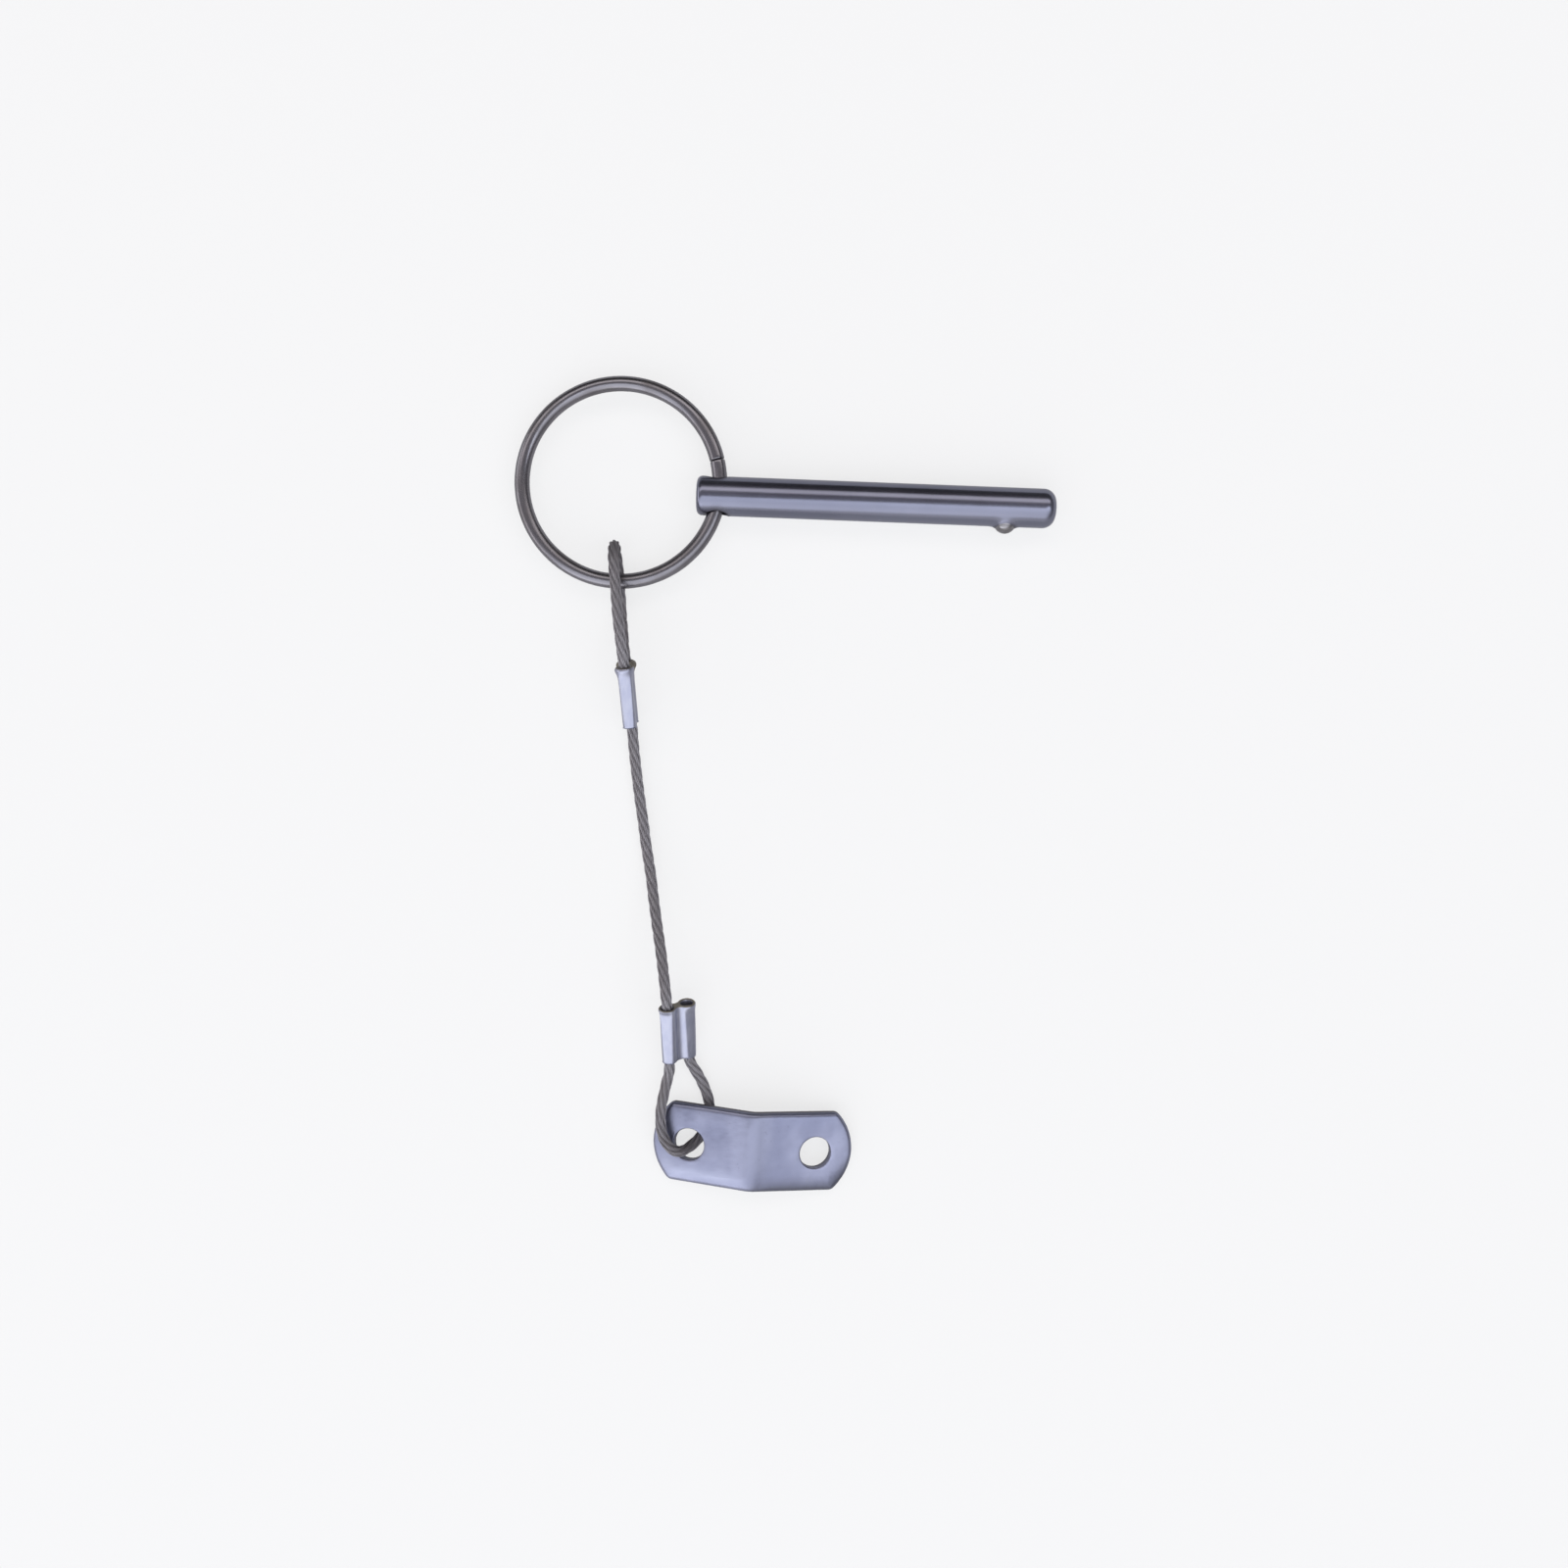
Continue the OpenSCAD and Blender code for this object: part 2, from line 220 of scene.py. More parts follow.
class Finish:
    """A metal finish: a material, its shader and the patterns that the finishes share."""

    def __init__(self, name, roughness):
        """Starts from an even roughness, which the pattern given to set() takes over."""
        self.material = bpy.data.materials.new(name)
        self.material.use_nodes = True
        tree = self.material.node_tree
        self.shader = tree.nodes["Principled BSDF"]
        self.shader.inputs["Metallic"].default_value = 1
        self.shader.inputs["Roughness"].default_value = roughness
        self.nodes = Socket(tree)
        self.place = self.nodes.node("TexCoord", output="Object")

    def noise(self, scale, detail, at=None):
        """Noise from 0 to 1, with one scale per axis, in waves per metre."""
        spread = self.nodes.node("Mapping", {}, {"Vector": at or self.place, "Scale": scale})
        inputs = {"Vector": spread, "Scale": 1, "Detail": detail}
        return self.nodes.node("TexNoise", {}, inputs)

    def mix(self, share, first, second):
        """A colour between two others."""
        inputs = {0: share, 6: first, 7: second}
        return self.nodes.node("Mix", {"data_type": "RGBA"}, inputs, output=2)

    def attribute(self, name):
        """A value that the mesh keeps on its vertices."""
        return self.nodes.node("Attribute", {"attribute_name": name}, output="Fac")

    def set(self, colour, roughness, relief, depth):
        """Feeds the shader. Depth is the height of the relief, in metres."""
        inputs = {"Height": relief, "Distance": depth, "Strength": 1}
        bump = self.nodes.node("Bump", {}, inputs)
        self.nodes.feed(self.shader.inputs["Base Color"], colour)
        self.nodes.feed(self.shader.inputs["Roughness"], roughness)
        self.nodes.feed(self.shader.inputs["Normal"], bump)
        return self.material


# Finishes

def shank_steel():
    """Bright drawn steel: lines along the pin, a wave in the polish, and dirt with painted shade
    round its holes.
    """
    dark, light, grime_and_shade = (0.205, 0.21, 0.27, 1), (0.23, 0.235, 0.3, 1), (0.07, 0.06, 0.055, 1)
    steel = Finish("shank_steel", 0.2)
    lines = steel.noise((60, 2800, 2800), 3)
    wave = steel.noise((60, 120, 120), 2)
    nicks = steel.noise((700, 700, 700), 4).step(0.7, 0.78)
    from_hole, from_ball = (
        steel.nodes.node("Mapping", {}, {
            "Vector": steel.place, "Location": (-x * MM, 0, 0), "Scale": (1, 0, 1)}).length()
        for x in (CROSS_HOLE_X, BALL_CENTRE.x))
    ball_side = steel.place.part("Y").step(-1 * MM, -3 * MM)
    # Darker round the cross hole and the ball's pocket: some dirt, and painted shade where the ring
    # and the ball sit.
    dirt_and_shade = ((from_hole + wave * MM).step(4.2 * MM, 2.6 * MM)
            + (from_ball + wave * MM).step(3.5 * MM, 2.5 * MM) * ball_side)
    clean = steel.mix(wave.step(0.35, 0.65), dark, light)
    colour = steel.mix(dirt_and_shade * 0.6, clean, grime_and_shade)
    roughness = 0.16 + lines * 0.08 + wave * 0.06 + nicks * 0.12 + dirt_and_shade * 0.2
    return steel.set(colour, roughness, lines + nicks * -0.2, 5 * MICRON)


def ball_steel():
    """Hard ball, dulled by the rings that sliding in and out of holes leaves."""
    bright, dull = (0.28, 0.27, 0.28, 1), (0.2, 0.19, 0.195, 1)
    steel = Finish("ball_steel", 0.2)
    wear = steel.noise((300, 2200, 300), 3)
    scuffs = wear.step(0.4, 0.7)
    return steel.set(steel.mix(scuffs, bright, dull), 0.16 + scuffs * 0.16, wear, 4 * MICRON)


def spring_steel():
    """Spring wire with a spotted skin."""
    dull, bright = (0.3, 0.29, 0.28, 1), (0.42, 0.4, 0.38, 1)
    steel = Finish("spring_steel", 0.3)
    spots = steel.noise((1500, 1500, 1500), 3)
    return steel.set(steel.mix(spots, dull, bright), 0.22 + spots * 0.2, spots, 5 * MICRON)


def ring_steel():
    """Grey drawn wire: lines that run round the ring, and dull stretches where it rubs."""
    bright, rubbed = (0.25, 0.24, 0.26, 1), (0.18, 0.168, 0.175, 1)
    steel = Finish("ring_steel", 0.25)
    centred = steel.nodes.node(
        "Mapping", {}, {"Vector": steel.place, "Location": -RING_CENTRE * MM})
    flat = steel.nodes.node(
        "VectorMath", {"operation": "MULTIPLY"}, {0: centred, 1: (1, 1, 0)})
    turn = steel.nodes.maths("ARCTAN2", centred.part("Y"), centred.part("X"))
    along = steel.nodes.node(
        "CombineXYZ", {}, {0: flat.length(), 1: centred.part("Z"), 2: turn * (RING_R * MM)})
    lines = steel.noise((3200, 3200, 70), 3, along)
    dull = steel.noise((90, 90, 90), 3).step(0.42, 0.68)
    colour = steel.mix(dull, bright, rubbed)
    return steel.set(colour, 0.19 + lines * 0.09 + dull * 0.12, lines, 6 * MICRON)


def rope_steel():
    """Dull stranded wire: each wire has its own tone, with painted shade and grime between the
    strands, and grime with painted shade where the eyes bear.
    """
    plain, pale = (0.32, 0.305, 0.32, 1), (0.37, 0.352, 0.367, 1)
    valley_shade_and_grime, grime_and_shade = (0.26, 0.245, 0.255, 1), (0.13, 0.115, 0.12, 1)
    steel = Finish("rope_steel", 0.45)
    steel.shader.inputs["Metallic"].default_value = 0.7
    # Wires sunk between the strands take a darker colour: painted shade, with some grime.
    crown = steel.attribute("crown").step(0.66, 0.95)
    spots = steel.noise((700, 700, 700), 3)
    wire = steel.mix(steel.attribute("wire_tone"), plain, pale)
    clean = steel.mix(crown, valley_shade_and_grime, wire)
    # Darker near the ring and the tab hole: grime with painted shade.
    colour = steel.mix(steel.attribute("soil") * 0.65, clean, grime_and_shade)
    roughness = 0.42 + spots * 0.12 + (1 - crown) * 0.15
    return steel.set(colour, roughness, spots, 8 * MICRON)


def sleeve_aluminium():
    """Pale soft metal: die marks along the sleeve, smears, and brown tarnish with painted shade at
    its mouths.
    """
    dull, bright = (0.39, 0.4, 0.495, 1), (0.455, 0.465, 0.55, 1)
    brown = (0.24, 0.22, 0.185, 1)
    pale = Finish("sleeve_aluminium", 0.4)
    stain = pale.attribute("stain")
    smears = pale.noise((900, 160, 900), 3)
    marks = pale.noise((4200, 380, 4200), 2)
    clean = pale.mix(smears.step(0.35, 0.7), dull, bright)
    # Brown at the mouths: tarnish with painted shade.
    colour = pale.mix((stain + smears * 0.3).step(0.35, 0.75), clean, brown)
    roughness = 0.32 + smears * 0.14 + stain * 0.12
    return pale.set(colour, roughness, smears + marks * 0.4, 12 * MICRON)


def tab_steel():
    """Satin strip: clouded faces with a fine grain, a few dark pits, painted shade by the crease
    and the near border, a painted highlight on the near border, and dark cut edges.
    """
    shade, light = (0.24, 0.251, 0.346, 1), (0.336, 0.347, 0.456, 1)
    dark, bright, cut = (0.15, 0.155, 0.2, 1), (0.385, 0.4, 0.51, 1), (0.12, 0.108, 0.105, 1)
    satin = Finish("tab_steel", 0.35)
    rim = satin.attribute("rim")
    clouds = satin.noise((95, 95, 95), 3)
    smears = satin.noise((150, 60, 90), 2)
    grain = satin.noise((500, 2600, 2600), 3)
    pits = satin.noise((1900, 1900, 1900), 3).step(0.64, 0.74)
    face = satin.mix((clouds * 0.5 + smears * 0.5).step(0.36, 0.64), shade, light)
    # Darker by the crease and along the near border of the right flap: painted shade, with a few
    # dark pits.
    pitted_and_shaded = satin.mix(pits * 0.25 + satin.attribute("tarnish"), face, dark)
    # Lighter along the near border of the left flap: a painted highlight.
    rubbed = satin.mix(satin.attribute("rubbed"), pitted_and_shaded, bright)
    colour = satin.mix(rim * 0.8, rubbed, cut)
    roughness = 0.28 + clouds * 0.1 + grain * 0.06 + rim * 0.12
    return satin.set(colour, roughness, grain + pits * -0.5 + clouds * 45, 9 * MICRON)


# Mesh helpers

def ramp(value, start, end):
    """0 up to a start, 1 from an end, and even between them. The end may be the smaller."""
    return max(0, min(1, (value - start) / (end - start)))


def hump(value, middle, width):
    """1 at a middle, and almost nothing two widths away from it."""
    return math.exp(-((value - middle) / width) ** 2)


def arc(bm, start, centre, axis, angle, steps):
    """Sweeps a vertex round an axis, with edges behind it, and returns the last vertex."""
    swept = bmesh.ops.spin(
        bm, geom=[start], cent=centre, axis=axis, angle=math.radians(angle), steps=steps)
    return swept["geom_last"][0]


def lathe(bm, centre, axis, steps):
    """Spins all that a bmesh holds into a closed solid."""
    bmesh.ops.spin(
        bm, geom=bm.verts[:] + bm.edges[:], cent=centre, axis=axis, angle=math.tau,
        steps=steps, use_merge=True)
    bmesh.ops.remove_doubles(bm, verts=bm.verts[:], dist=1e-4)
    bmesh.ops.recalc_face_normals(bm, faces=bm.faces[:])


def chain(bm, *points):
    """Vertices at points, joined in a row by edges."""
    verts = [bm.verts.new(point) for point in points]
    for pair in zip(verts, verts[1:]):
        bm.edges.new(pair)
    return verts


def cut_at(bm, places, normal):
    """Adds a row of edges where each plane meets the mesh."""
    for place in places:
        bmesh.ops.bisect_plane(
            bm, geom=bm.verts[:] + bm.edges[:] + bm.faces[:],
            plane_co=normal * place, plane_no=normal)


def cut_out(bm, tool):
    """Cuts one closed mesh out of another. Both are used up, and the result is returned."""
    objects = []
    for part in (bm, tool):
        mesh = bpy.data.meshes.new("cut")
        part.to_mesh(mesh)
        part.free()
        objects.append(bpy.data.objects.new("cut", mesh))
        bpy.context.scene.collection.objects.link(objects[-1])
    work, cutter = objects
    modifier = work.modifiers.new("cut", "BOOLEAN")
    modifier.object = cutter
    modifier.solver = "EXACT"
    depsgraph = bpy.context.evaluated_depsgraph_get()
    mesh = bpy.data.meshes.new_from_object(work.evaluated_get(depsgraph))
    result = bmesh.new()
    result.from_mesh(mesh)
    for used in (mesh, work.data, cutter.data):
        bpy.data.meshes.remove(used)
    return result


def mend(bm):
    """Closes the slivers that cuts leave, and splits the faces of many sides."""
    sliver = 0.01
    bmesh.ops.remove_doubles(bm, verts=bm.verts[:], dist=sliver)
    bmesh.ops.dissolve_degenerate(bm, edges=bm.edges[:], dist=sliver)
    bmesh.ops.triangulate(bm, faces=[f for f in bm.faces if len(f.verts) > 4])
    bmesh.ops.dissolve_degenerate(bm, edges=bm.edges[:], dist=sliver)


def only_verts(geometry):
    """The vertices among what an operator returns."""
    return [item for item in geometry if isinstance(item, bmesh.types.BMVert)]


def open_edges(bm):
    """The edges that have a face on one side only."""
    return [edge for edge in bm.edges if edge.is_boundary]


def ease(bm, edges, offset, segments):
    """Rounds edges off."""
    bmesh.ops.bevel(
        bm, geom=edges, offset=offset, segments=segments, profile=0.5, affect="EDGES", material=-1)


def placed(point, axis, side):
    """The matrix that turns +Z to an axis and +X to a side, at a point."""
    turned = axis.cross(side)
    return Matrix.Translation(point) @ Matrix((side, turned, axis)).transposed().to_4x4()


def square_to(vector, direction):
    """The direction nearest to a vector that is square to another."""
    return (vector - vector.dot(direction) * direction).normalized()


def make_piece(name, bm, material, body, slot, *nodes):
    """Makes a mesh in millimetres a piece in metres, which rides on a body for CAD nodes."""
    mesh = bpy.data.meshes.new(name)
    bm.transform(Matrix.Scale(MM, 4))
    bm.to_mesh(mesh)
    bm.free()
    mesh.shade_smooth()
    mesh.set_sharp_from_angle(angle=SHARP_FROM)
    return dress(bpy.data.objects.new(name, mesh), material, nodes, body)


def dress(piece, material, nodes, body=None):
    """Links a piece, gives it its finish, hides the CAD nodes it stands in for, and sets what it
    rides on.
    """
    piece.data.materials.clear()
    piece.data.materials.append(material)
    bpy.context.scene.collection.objects.link(piece)
    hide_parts(*nodes)
    if body:
        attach(piece, body)
    return piece


# Camera, floor and light

def set_camera():
    """A camera that looks straight down, over the middle of the pin and its lanyard."""
    height, width, turn = 310, 333.33, 2.19
    data = bpy.data.cameras.new("camera")
    data.sensor_width = 36
    data.lens = data.sensor_width * height / width
    data.clip_start = 0.01
    camera = bpy.data.objects.new("camera", data)
    camera.location = Vector((-17.26, -60.62, height)) * MM
    camera.rotation_euler = (0, 0, math.radians(turn))
    bpy.context.scene.collection.objects.link(camera)
    bpy.context.scene.camera = camera


def rays(nodes):
    """Whether a ray comes straight from the camera, by way of a mirror, or through glass."""
    kinds = ("Camera", "Glossy", "Transmission")
    return (nodes.node("LightPath", output=f"Is {kind} Ray") for kind in kinds)


def set_floor():
    """A pale floor that the pin lies on, with a soft shadow.

    The eye sees through most of it to the white room, so that a ring or rope that swings below
    it still shows.
    """
    radius, clear_near, fade_from, fade_to = 2500, 0.75, 0.2, 1.2
    bm = bmesh.new()
    bmesh.ops.create_circle(bm, cap_ends=True, segments=64, radius=radius)
    bm.transform(Matrix.Scale(MM, 4) @ Matrix.Translation((0, 0, -PIN_R)))
    mesh = bpy.data.meshes.new("floor")
    bm.to_mesh(mesh)
    bm.free()
    floor = bpy.data.objects.new("floor", mesh)
    bpy.context.scene.collection.objects.link(floor)
    material = bpy.data.materials.new("floor_white")
    material.use_nodes = True
    tree = material.node_tree
    tree.nodes.remove(tree.nodes["Principled BSDF"])
    nodes = Socket(tree)
    camera, glossy, through = rays(nodes)
    white = nodes.node("Emission", {}, {"Color": (1, 1, 1, 1), "Strength": 1})
    matt = nodes.node("BsdfDiffuse", {}, {"Color": (0.58, 0.58, 0.58, 1)})
    lit = nodes.node("MixShader", {}, {0: glossy * 0.25 + through * 0.9, 1: matt, 2: white})
    pale = nodes.node("BsdfDiffuse", {}, {"Color": (0.95, 0.95, 0.95, 1)})
    clear = nodes.node("BsdfTransparent", {}, {"Color": (1, 1, 1, 1)})
    away = nodes.node("TexCoord", output="Object").length()
    far = clear_near + away.step(fade_from, fade_to) * (1 - clear_near)
    seen = nodes.node("MixShader", {}, {0: far, 1: pale, 2: clear})
    surface = nodes.node("MixShader", {}, {0: camera, 1: lit, 2: seen})
    nodes.feed(tree.nodes["Material Output"].inputs["Surface"], surface)
    mesh.materials.append(material)


def set_world():
    """A room that looks white, and lights the metal.

    It is pale low on the near side, and dark on the far side and the right.
    """
    world = bpy.data.worlds.new("room")
    bpy.context.scene.world = world
    world.use_nodes = True
    nodes = Socket(world.node_tree)
    direction = nodes.node("TexCoord", output="Generated")
    right, far_side = direction.part("X"), direction.part("Y")
    stops = [
        (0, (0.92, 0.91, 0.92, 1)), (0.06, (0.81, 0.8, 0.83, 1)),
        (0.2, (0.39, 0.38, 0.41, 1)), (0.5, (0.26, 0.25, 0.28, 1)),
        (0.8, (0.11, 0.105, 0.115, 1)), (0.93, (0.01, 0.008, 0.01, 1))]
    shade = nodes.node("ValToRGB", {"stops": stops}, {0: far_side * 0.5 + 0.5})
    room = nodes.node("Background", {}, {"Color": shade, "Strength": 1 - right * 0.25})
    white = nodes.node("Background", {}, {"Color": (0.97, 0.97, 0.97, 1), "Strength": 1})
    camera, glossy, through = rays(nodes)
    share = camera + through + glossy * 0.07
    surface = nodes.node("MixShader", {}, {0: share, 1: room, 2: white})
    nodes.feed(world.node_tree.nodes["World Output"].inputs["Surface"], surface)


def add_softbox(
        name, lean_x, lean_y, wide_x, wide_y, radiance, colour, roll=0, fade=0, warp=0):
    """A panel over the pin.

    Its lean from overhead towards +X and +Y, how wide it looks, and its roll are in degrees.
    With a fade it glows less low down, and with a warp one pair of opposite corners glows more
    than the other.
    """
    away, least_glow, over = 0.9, 0.2, Vector((-0.02, -0.03, 0))
    data = bpy.data.lights.new(name, "AREA")
    data.shape = "RECTANGLE"
    data.size = 2 * away * math.tan(math.radians(wide_x / 2))
    data.size_y = 2 * away * math.tan(math.radians(wide_y / 2))
    data.energy = radiance * math.pi * data.size * data.size_y
    data.color = colour
    data.use_nodes = True
    nodes = Socket(data.node_tree)
    spot = nodes.node("NewGeometry", output="Parametric")
    across, up = (spot.part(axis) * 2 - 1 for axis in "XY")
    glow = nodes.maths("MAXIMUM", 1 + up * (across * warp + fade), least_glow)
    nodes.feed(data.node_tree.nodes["Emission"].inputs["Strength"], glow)
    lamp = bpy.data.objects.new(name, data)
    turn = Euler((-math.radians(lean_y), math.radians(lean_x), 0)).to_matrix()
    lamp.rotation_euler = (turn @ Matrix.Rotation(math.radians(roll), 3, "Z")).to_euler()
    lamp.location = over + turn @ (ALONG_Z * away)
    bpy.context.scene.collection.objects.link(lamp)


# Rope

def smooth_route(points, step):
    """A smooth curve through points, as points about step apart."""
    per_stretch = 40
    ends = [2 * points[0] - points[1], *points, 2 * points[-1] - points[-2]]
    fine = []
    for before, start, end, after in zip(ends, ends[1:], ends[2:], ends[3:]):
        reach = (end - start).length / 3
        leaving = (end - before).normalized() * reach
        arriving = (after - start).normalized() * reach
        curve = interpolate_bezier(start, start + leaving, end - arriving, end, per_stretch)
        fine += curve[:-1]
    fine.append(points[-1])
    route, walked, due = [fine[0]], 0.0, step
    for start, end in zip(fine, fine[1:]):
        length = (end - start).length
        while walked + length >= due:
            route.append(start.lerp(end, (due - walked) / length))
            due += step
        walked += length
    return route


def rope_points():
    """The points that the rope passes, from its cut end in the upper sleeve to the lower one."""
    upper, lower = sleeve_axes()
    return [
        upper["dead_end"] - upper["axis"] * END_RECESS, upper["dead_mouth"],
        *map(Vector, UPPER_EYE), upper["mouth"], upper["end"],
        *map(Vector, SPAN), lower["mouth"], lower["end"],
        *map(Vector, LOWER_EYE), lower["dead_end"],
        lower["dead_mouth"] + lower["axis"] * END_RECESS]


def lay_wires(route, step, wire_r):
    """The lines of the core and the wires round a route, as points with a thickness in wires.

    A lay is the length of a full turn. The strands turn to the left, and the wires in them to
    the right.
    """
    rope_lay, strand_lay, core = -18, -7.5, 7
    strand_r = 6 * wire_r
    lines = [[] for _ in range(1 + STRANDS * WIRES)]
    side = ALONG_X
    for i, point in enumerate(route):
        along = (route[min(i + 1, len(route) - 1)] - route[max(i - 1, 0)]).normalized()
        side = square_to(side, along)
        up = along.cross(side)
        lines[0].append((point, core))
        for k in range(STRANDS):
            lay = math.tau * (k / STRANDS + i * step / rope_lay)
            out = side * math.cos(lay) + up * math.sin(lay)
            for j in range(WIRES):
                twist = math.tau * (j / WIRES - i * step / strand_lay)
                wire = out * math.cos(twist) + along.cross(out) * math.sin(twist)
                place = point + out * strand_r + wire * 2 * wire_r
                lines[1 + WIRES * k + j].append((place, 1))
    return lines


def wire_rope(material):
    """One rope between its cut ends in the two sleeves: six strands of six wires round a core."""
    # In wire radii, a strand lies 6 out and reaches 3 further
    step, wire_r = 0.55, ROPE_R / 9
    route = smooth_route(rope_points(), step)
    curve = bpy.data.curves.new("lanyard_rope", "CURVE")
    curve.dimensions = "3D"
    curve.bevel_depth = wire_r * MM
    curve.bevel_resolution = 1
    curve.use_fill_caps = True
    for line in lay_wires(route, step, wire_r):
        spline = curve.splines.new("POLY")
        spline.points.add(len(line) - 1)
        for knot, (place, thickness) in zip(spline.points, line):
            knot.co = (*(place * MM), 1)
            knot.radius = thickness
    wound = bpy.data.objects.new("wound", curve)
    mesh = bpy.data.meshes.new_from_object(wound)
    mesh.name = "lanyard_rope"
    bpy.data.objects.remove(wound)
    mesh.shade_smooth()
    mark_wires(mesh, route)
    nodes = (
        "lanyard_upper_eye", "lanyard_span_upper", "lanyard_span_lower", "lanyard_lower_eye")
    rope = dress(bpy.data.objects.new("lanyard_rope", mesh), material, nodes)
    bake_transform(rope)
    return rope, [point * MM for point in route]


def mark_wires(mesh, route):
    """Keeps what the rope's finish reads on each vertex.

    That is how far out of the rope it is, which sets the painted shade between strands, a tone for
    its wire, and the grime and painted shade where the eyes bear.
    """
    tree = KDTree(len(route))
    for i, point in enumerate(route):
        tree.insert(point * MM, i)
    tree.balance()
    crown, tone, soil = (
        mesh.attributes.new(name, "FLOAT", "POINT") for name in ("crown", "wire_tone", "soil"))
    # Where the eyes bear, grime and painted shade darken the rope.
    bearings = ((RING_BEARING * MM, 7 * MM), (TAB_EYE * MM, 11 * MM))
    per_wire, tone_step = len(mesh.vertices) // (1 + STRANDS * WIRES), 0.618
    for i, vertex in enumerate(mesh.vertices):
        nearness = min((vertex.co - place).length / reach for place, reach in bearings)
        soil.data[i].value = max(0, 1 - nearness)
        crown.data[i].value = tree.find(vertex.co)[2] / (ROPE_R * MM)
        tone.data[i].value = (i // per_wire * tone_step) % 1


# Sleeves

def sleeve_axes():
    """The live and dead barrels of both sleeves, as points and directions."""
    found = []
    for mouth, foot, side in (
            (UPPER_MOUTH, UPPER_FOOT, UPPER_SIDE), (LOWER_MOUTH, LOWER_FOOT, LOWER_SIDE)):
        axis = (foot - mouth).normalized()
        side = square_to(side, axis)
        end = mouth + axis * SLEEVE_L
        found.append({
            "mouth": mouth, "end": end, "axis": axis, "side": side,
            "dead_mouth": mouth + side * BARREL_SPACING,
            "dead_end": end + side * BARREL_SPACING})
    return found


def sleeve_outline(bm):
    """The outline of two barrels with a fillet on each side between them, and their bores."""
    middle = BARREL_SPACING / 2
    rise = math.sqrt((SLEEVE_R + SLEEVE_FILLET_R) ** 2 - middle ** 2)
    lean = math.degrees(math.atan2(rise, middle))
    barrel, fillet = 360 - 2 * lean, -(180 - 2 * lean)
    touch = Vector((middle, rise, 0)) * (SLEEVE_R / (SLEEVE_R + SLEEVE_FILLET_R))
    knot = bm.verts.new(touch)
    knot = arc(bm, knot, (0, 0, 0), ALONG_Z, barrel, 36)
    knot = arc(bm, knot, (middle, -rise, 0), ALONG_Z, fillet, 10)
    knot = arc(bm, knot, (BARREL_SPACING, 0, 0), ALONG_Z, barrel, 36)
    arc(bm, knot, (middle, rise, 0), ALONG_Z, fillet, 10)
    bmesh.ops.remove_doubles(bm, verts=bm.verts[:], dist=1e-3)
    for x in (0, BARREL_SPACING):
        bmesh.ops.create_circle(
            bm, segments=32, radius=SLEEVE_BORE_R, matrix=Matrix.Translation((x, 0, 0)))


def crimp_sleeve(name, barrels, crimp, material, body):
    """A drawn sleeve of two barrels, crimped on the rope, with brown stain and painted shade at its
    mouths.
    """
    stain_and_shade_fade = 0.4
    bm = bmesh.new()
    sleeve_outline(bm)
    drawn = bmesh.ops.extrude_edge_only(bm, edges=bm.edges[:])["geom"]
    bmesh.ops.translate(bm, verts=only_verts(drawn), vec=ALONG_Z * SLEEVE_L)
    rims = open_edges(bm)
    for z in (0, SLEEVE_L):
        ring = [e for e in rims if all(abs(v.co.z - z) < 1e-3 for v in e.verts)]
        bmesh.ops.triangle_fill(bm, edges=ring, use_beauty=True)
    cut_at(bm, SLEEVE_ROWS, ALONG_Z)
    bmesh.ops.recalc_face_normals(bm, faces=bm.faces[:])
    stain = bm.verts.layers.float.new("stain")
    for vert in bm.verts:
        live = vert.co.x < BARREL_SPACING / 2
        barrel, die = (0, crimp["live"]) if live else (BARREL_SPACING, crimp["dead"])
        # Brown stain and painted shade reach a set way down from each mouth.
        vert[stain] = ramp(vert.co.z, die["stain"], die["stain"] - stain_and_shade_fade)
        press(vert, barrel, die)
    bm.transform(placed(barrels["mouth"], barrels["axis"], barrels["side"]))
    node = name.replace("sleeve", "ferrule")
    return make_piece(name, bm, material, body, "ferrule_aluminium", node)


def press(vert, barrel, die):
    """Moves a vertex of a plain drawn sleeve to where the crimp leaves it on its barrel."""
    eased, taper, mouth_l, end_l = 0.3, 0.3, 0.5, 0.3
    dome_l, dome_in, dome_rise = 1.2, 0.35, 0.4
    collar_at, collar_l = 0.6, 0.8
    flat_r, firmness = 1.36, 0.85
    x, y, z = vert.co
    radius = math.hypot(x - barrel, y)
    inside = radius < (SLEEVE_BORE_R + SLEEVE_R) / 2
    near_mouth, near_end = ramp(z, mouth_l, 0) ** 2, ramp(z, SLEEVE_L - end_l, SLEEVE_L) ** 2
    rounded = ramp(z, dome_l, 0) * die["dome"]
    if inside:
        grown = eased * ((1 - die["dome"]) * near_mouth + near_end)
    else:
        collar = die["collar"] * hump(z, collar_at, collar_l)
        shrunk = eased * (near_mouth + near_end) + dome_in * rounded ** 2 + taper * z / SLEEVE_L
        grown = collar - shrunk
    vert.co.z -= dome_rise * rounded
    vert.co.y = y * (1 + grown / radius)
    if inside or not 0 < x < BARREL_SPACING:
        vert.co.x = barrel + (x - barrel) * (1 + grown / radius)
    if inside:
        return
    share = ramp(z, 0.2 * die["fade"], 1.2 * die["fade"])
    share *= share * (3 - 2 * share)
    for turn in die["flats"]:
        facing = Matrix.Rotation(math.radians(turn), 3, "Z") @ ALONG_X
        proud = (vert.co - ALONG_X * barrel).dot(facing) - flat_r
        if proud > 0:
            vert.co -= facing * proud * firmness * share


# Ring, shank, ball and spring

